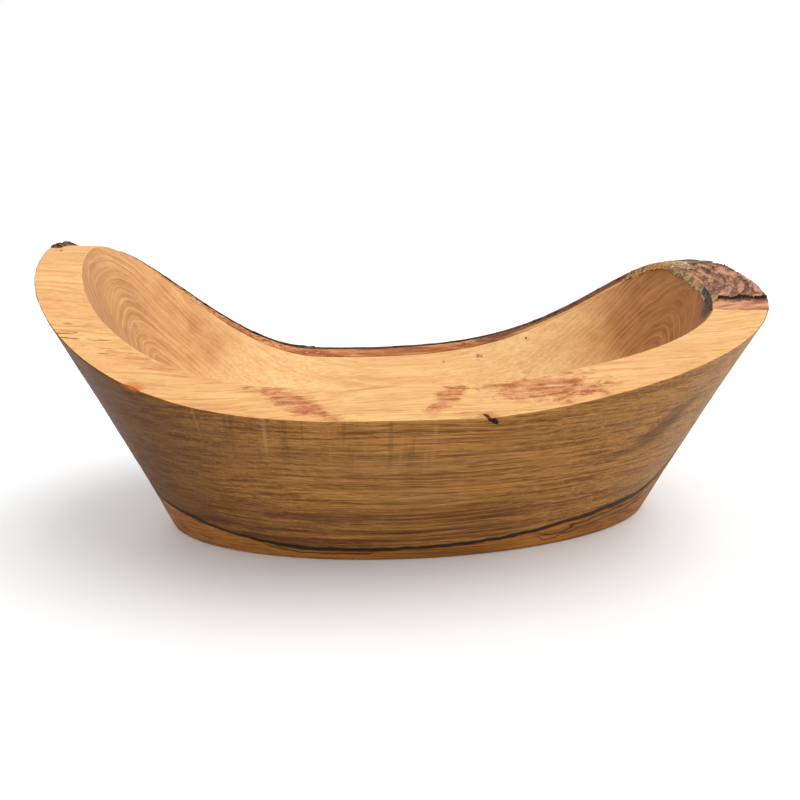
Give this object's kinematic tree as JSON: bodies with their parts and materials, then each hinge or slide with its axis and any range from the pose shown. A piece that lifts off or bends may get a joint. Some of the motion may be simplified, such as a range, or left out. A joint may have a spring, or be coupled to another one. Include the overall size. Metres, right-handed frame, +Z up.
{
  "type": "natural-edge carved wooden bowl",
  "caption": "Boat-shaped bowl carved from half a log, with a flat base, a stripped front rim and bark left on its back rim and tips.",
  "frame": {"origin": "middle of the flat base", "axes": "+X along the grain to the right tip, +Y to the back rim that keeps its bark, +Z up"},
  "size_m": [0.2968, 0.1645, 0.1225],
  "materials": {
    "heartwood": "hand-carved honey-coloured wood, sanded and oiled to a low sheen, with darker heartwood lines",
    "inner_bark": "reddish-brown fibrous inner bark, cut flush with the hollow",
    "cork": "dark grey, cracked outer cork",
    "old_cork": "weathered loose flake of cork",
    "rough_bark": "rough fissured bark with orange and dark cracks",
    "bark_sliver": "thin dark bark, torn along its edge",
    "lichen": "pale grey-green crusty lichen",
    "pocket_bark": "dark ingrown bark with a pinkish edge"
  },
  "bodies": {
    "root": {"bowl_body": "heartwood", "bark_back": "inner_bark", "bark_back_cork": "cork", "bark_back_flake": "old_cork", "bark_right_tip": "rough_bark", "bark_left_tip": "bark_sliver", "lichen_crust": "lichen", "bark_inclusion": "pocket_bark"}
  },
  "joints": []
}
